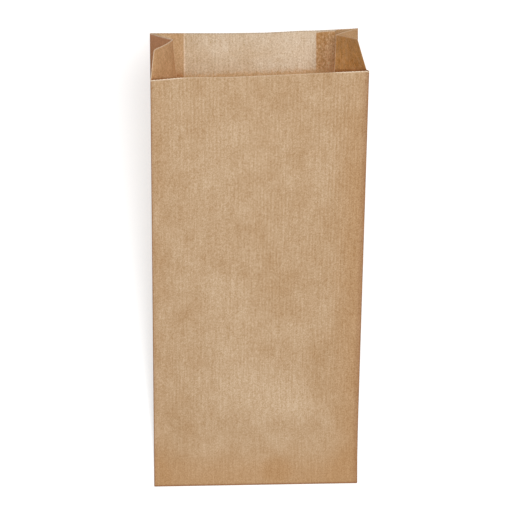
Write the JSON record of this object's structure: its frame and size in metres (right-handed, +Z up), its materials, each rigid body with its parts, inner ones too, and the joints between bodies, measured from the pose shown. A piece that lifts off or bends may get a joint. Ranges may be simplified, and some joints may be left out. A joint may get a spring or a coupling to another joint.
{
  "type": "paper bag",
  "caption": "Plain brown kraft paper bag with pleated sides and a glued pinch bottom, lying on its back panel with its stepped mouth a little open.",
  "frame": {"origin": "middle of the bag's footprint, on the surface that it lies on", "axes": "+Y along the bag from the glued bottom hem to the mouth, +Z up from the back panel to the front panel, +X across the bag, to the right for someone who looks down on the front panel with the mouth away from them"},
  "size_m": [0.1302, 0.29, 0.0802],
  "materials": {
    "kraft_paper": "uncoated ribbed brown kraft paper, matt"
  },
  "bodies": {
    "root": {"paper_bag": "kraft_paper"}
  },
  "joints": []
}
